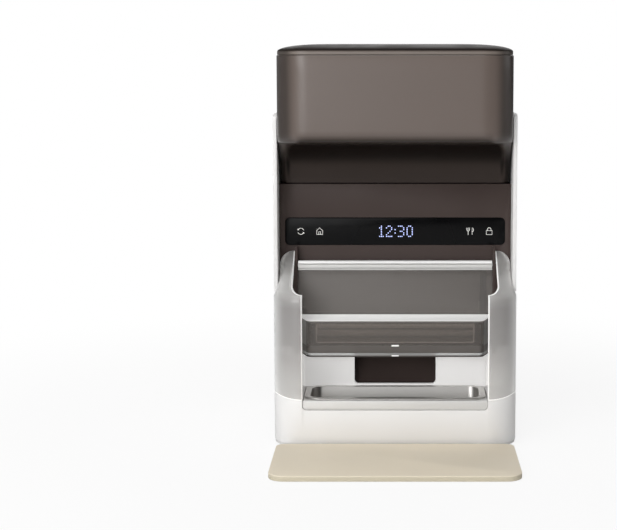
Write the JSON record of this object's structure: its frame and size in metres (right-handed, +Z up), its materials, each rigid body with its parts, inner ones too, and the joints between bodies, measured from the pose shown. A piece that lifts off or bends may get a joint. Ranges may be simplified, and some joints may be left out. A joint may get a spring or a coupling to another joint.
{
  "type": "microchip pet feeder",
  "caption": "Automatic dry-food pet feeder with a tag reader: hopper, portion rotor and chute, steel bowl behind a smoked visor that slides down to close it, clear side hood, floor mat.",
  "frame": {"origin": "on the floor, under the middle of the whole footprint of body and mat", "axes": "+Z up, -Y to the front where the bowl and mat are, +X to the right seen from behind the camera at the front"},
  "size_m": [0.2092, 0.31, 0.3435],
  "materials": {
    "white_plastic": "satin",
    "brown_plastic": "satin",
    "dark_plastic": "satin",
    "black_window": "polished",
    "clear_hood": "frosted clear",
    "smoked_visor": "tinted clear",
    "clear_seal": "soft clear",
    "bowl_steel": "brushed",
    "beige_mat": "matte",
    "black_rubber": "matte",
    "seal_rubber": "matte",
    "screw_steel": "turned",
    "shaft_steel": "ground",
    "chassis_grey": "moulded",
    "drive_plastic": "moulded",
    "gear_plastic": "moulded",
    "motor_case": "drawn",
    "gearbox_case": "moulded",
    "circuit_board": "solder mask",
    "ribbon": "flexible",
    "antenna_board": "copper on board",
    "cell_case": "printed sleeve",
    "contact_metal": "plated",
    "speaker_case": "moulded",
    "desiccant": "paper pouch"
  },
  "bodies": {
    "housing": {"base_shell": "white_plastic", "bottom_cover": "white_plastic", "rubber_feet": "black_rubber", "base_screws": "screw_steel", "bay_back_wall": "white_plastic", "chute_duct": "dark_plastic", "chute_sensors": "circuit_board", "side_shell_left": "white_plastic", "side_shell_right": "white_plastic", "rear_cover": "white_plastic", "rear_screws": "screw_steel", "electronics_housing": "dark_plastic", "display_window": "black_window", "display_board": "circuit_board", "reader_bar_cover": "dark_plastic", "reader_antenna": "antenna_board", "hood_left": "clear_hood", "hood_right": "clear_hood", "guide_rail_left": "dark_plastic", "guide_rail_right": "dark_plastic", "visor_gearbox": "gearbox_case", "visor_motor": "motor_case", "chassis_frame": "chassis_grey", "chassis_screws": "screw_steel", "rotor_chamber": "drive_plastic", "chamber_lid": "drive_plastic", "outlet_seal": "seal_rubber", "feed_motor": "motor_case", "main_board": "circuit_board", "ribbon_cable": "ribbon", "speaker": "speaker_case", "battery_box": "dark_plastic", "battery_cells": "cell_case", "cell_contacts": "contact_metal", "power_inlet": "gearbox_case", "button_board": "circuit_board"},
    "visor_carriage": {"visor": "smoked_visor", "visor_top_bar": "white_plastic", "visor_seal": "clear_seal", "visor_rack": "drive_plastic"},
    "visor_pinion": {"visor_pinion": "gear_plastic"},
    "rotor": {"portion_rotor": "drive_plastic", "rotor_shaft": "shaft_steel", "agitator": "drive_plastic", "rotor_gear": "gear_plastic"},
    "feed_pinion": {"feed_pinion": "gear_plastic"},
    "hopper": {"hopper_tank": "brown_plastic"},
    "lid": {"hopper_lid": "brown_plastic", "lid_seal": "seal_rubber", "desiccant_box": "white_plastic", "desiccant_pack": "desiccant"},
    "desiccant_cover": {"desiccant_cover": "white_plastic"},
    "bowl_tray": {"bowl_tray": "white_plastic"},
    "bowl": {"bowl": "bowl_steel"},
    "mat": {"mat": "beige_mat"},
    "battery_door": {"battery_door": "white_plastic", "door_contacts": "contact_metal"},
    "reset_button": {"reset_button": "dark_plastic"}
  },
  "joints": [
    {"name": "visor_slide", "type": "slide", "parent": "housing", "child": "visor_carriage", "axis": [0, 0, 1], "range_m": [-0.0344, 0.0115]},
    {"name": "visor_pinion_spin", "type": "hinge", "parent": "housing", "child": "visor_pinion", "pos_m": [0.077, 0.00526, 0.11], "axis": [1, 0, 0], "range_deg": [-93, 275]},
    {"name": "rotor_spin", "type": "hinge", "parent": "housing", "child": "rotor", "pos_m": [0, 0.078, 0.15], "axis": [0, 0, 1], "continuous": true},
    {"name": "feed_pinion_spin", "type": "hinge", "parent": "housing", "child": "feed_pinion", "pos_m": [0, 0.1051, 0.139], "axis": [0, 0, 1], "continuous": true},
    {"name": "hopper_lift", "type": "slide", "parent": "housing", "child": "hopper", "axis": [0, 0, 1], "range_m": [0, 0.065]},
    {"name": "lid_lift", "type": "slide", "parent": "hopper", "child": "lid", "axis": [0, 0, 1], "range_m": [0, 0.03]},
    {"name": "desiccant_cover_pull", "type": "slide", "parent": "lid", "child": "desiccant_cover", "axis": [0, 0, -1], "range_m": [0, 0.012]},
    {"name": "bowl_tray_lift", "type": "slide", "parent": "housing", "child": "bowl_tray", "axis": [0, 0, 1], "range_m": [0, 0.012]},
    {"name": "bowl_lift", "type": "slide", "parent": "bowl_tray", "child": "bowl", "axis": [0, 0, 1], "range_m": [0, 0.022]},
    {"name": "mat_slide", "type": "slide", "parent": "housing", "child": "mat", "axis": [0, -1, 0], "range_m": [0, 0.02]},
    {"name": "battery_door_pull", "type": "slide", "parent": "housing", "child": "battery_door", "axis": [0, 1, 0], "range_m": [0, 0.012]},
    {"name": "reset_press", "type": "slide", "parent": "housing", "child": "reset_button", "axis": [0, -1, 0], "range_m": [0, 0.0012], "stiffness_N_per_m": 300}
  ],
  "couplings": [
    {"joint": "visor_pinion_spin", "follows": "visor_slide", "rad_per_m": -138.89},
    {"joint": "feed_pinion_spin", "follows": "rotor_spin", "ratio": -2}
  ]
}
